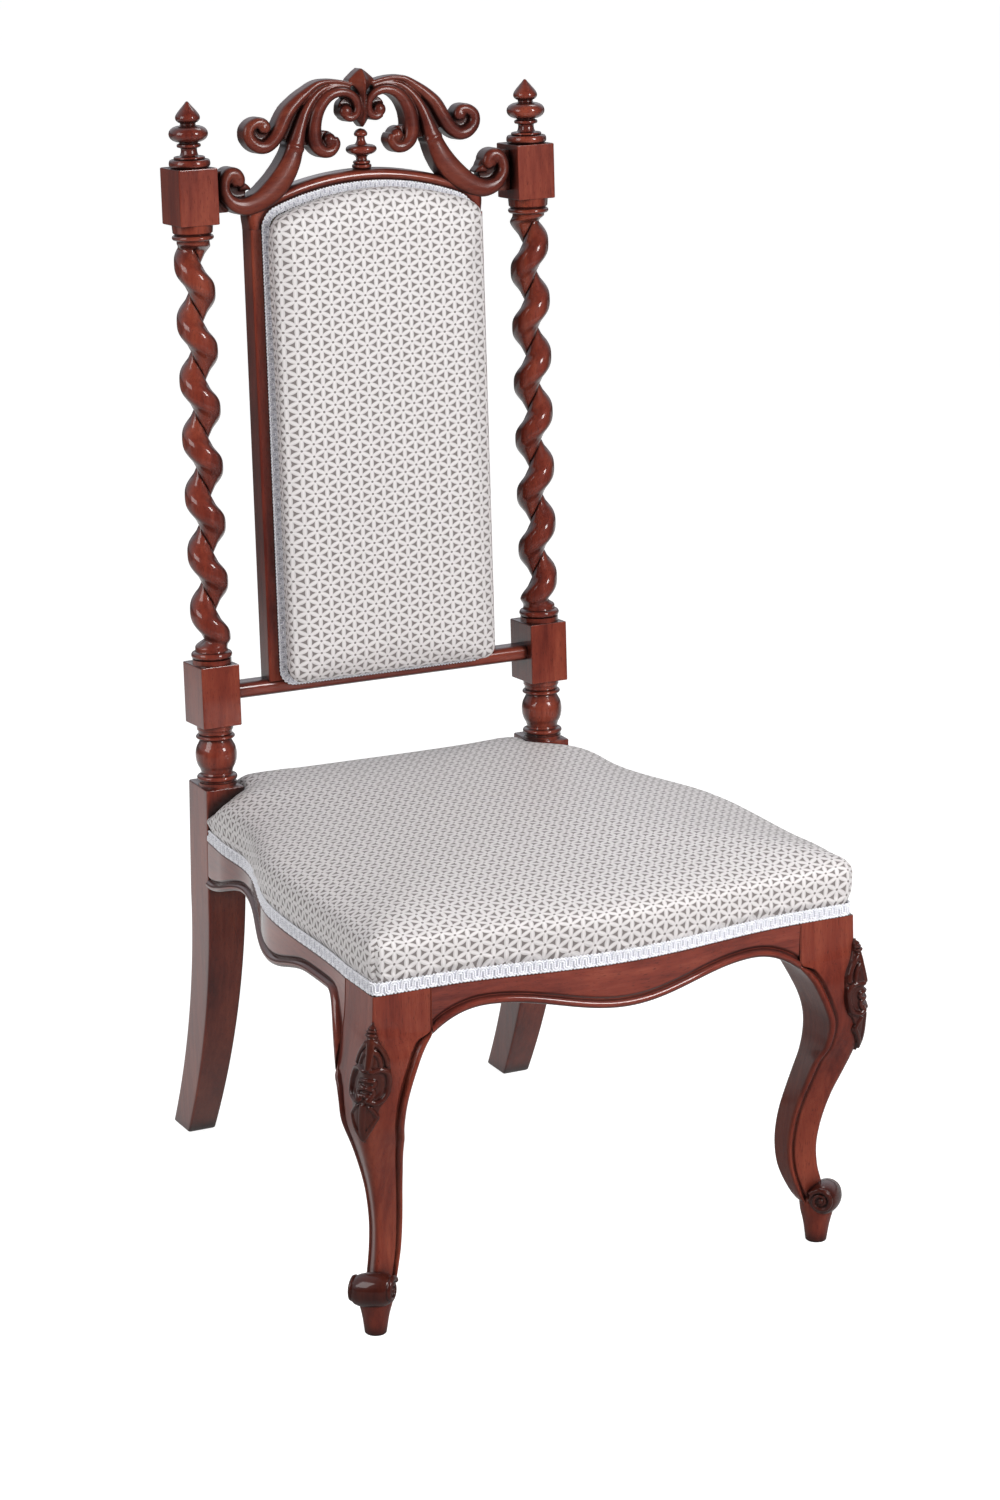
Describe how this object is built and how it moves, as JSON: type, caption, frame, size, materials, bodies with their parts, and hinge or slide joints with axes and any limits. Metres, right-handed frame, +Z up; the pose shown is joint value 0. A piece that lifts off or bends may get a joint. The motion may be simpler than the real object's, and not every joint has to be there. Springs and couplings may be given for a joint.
{
  "type": "upholstered hall chair",
  "caption": "Tall-backed side chair with barley-twist posts, a carved scroll crest, cabriole front legs, and a stuffed seat and back edged with braid.",
  "frame": {"origin": "on the floor, at the centre of the chair's box in X and Y", "axes": "+Z up, +Y towards the chair's back, +X to the right seen from the front"},
  "size_m": [0.5458, 0.6234, 1.1127],
  "materials": {
    "mahogany": "French-polished gloss",
    "beech": "bare, matt",
    "cover_fabric": "woven, satin",
    "gimp_braid": "corded braid",
    "hessian": "coarse plain weave",
    "webbing": "woven jute strap",
    "steel": "plain"
  },
  "bodies": {
    "root": {"back_post_left": "mahogany", "back_post_right": "mahogany", "finial_left": "mahogany", "finial_right": "mahogany", "crest_rail": "mahogany", "crest_finial": "mahogany", "arch_rail": "mahogany", "panel_stile_left": "mahogany", "panel_stile_right": "mahogany", "back_lower_rail": "mahogany", "front_leg_left": "mahogany", "front_leg_right": "mahogany", "front_rail": "mahogany", "side_rail_left": "mahogany", "side_rail_right": "mahogany", "rear_rail": "mahogany", "corner_block_front_left": "beech", "corner_block_front_right": "beech", "corner_block_rear_left": "beech", "corner_block_rear_right": "beech", "dowel_front_left_1": "beech", "dowel_front_left_2": "beech", "dowel_front_right_1": "beech", "dowel_front_right_2": "beech", "dowel_rear_left_1": "beech", "dowel_rear_left_2": "beech", "dowel_rear_right_1": "beech", "dowel_rear_right_2": "beech", "dowel_side_front_left_1": "beech", "dowel_side_front_left_2": "beech", "dowel_side_front_right_1": "beech", "dowel_side_front_right_2": "beech", "dowel_side_rear_left_1": "beech", "dowel_side_rear_left_2": "beech", "dowel_side_rear_right_1": "beech", "dowel_side_rear_right_2": "beech", "screw_front_left_1": "steel", "screw_front_left_2": "steel", "screw_front_right_1": "steel", "screw_front_right_2": "steel", "screw_rear_left_1": "steel", "screw_rear_left_2": "steel", "screw_rear_right_1": "steel", "screw_rear_right_2": "steel", "webbing_long_1": "webbing", "webbing_long_2": "webbing", "webbing_long_3": "webbing", "webbing_long_4": "webbing", "webbing_cross_1": "webbing", "webbing_cross_2": "webbing", "webbing_cross_3": "webbing", "seat_hessian": "hessian", "back_hessian": "hessian", "seat_pad": "cover_fabric", "back_pad": "cover_fabric", "outside_back_cover": "cover_fabric", "seat_gimp": "gimp_braid", "back_gimp": "gimp_braid"}
  },
  "joints": []
}
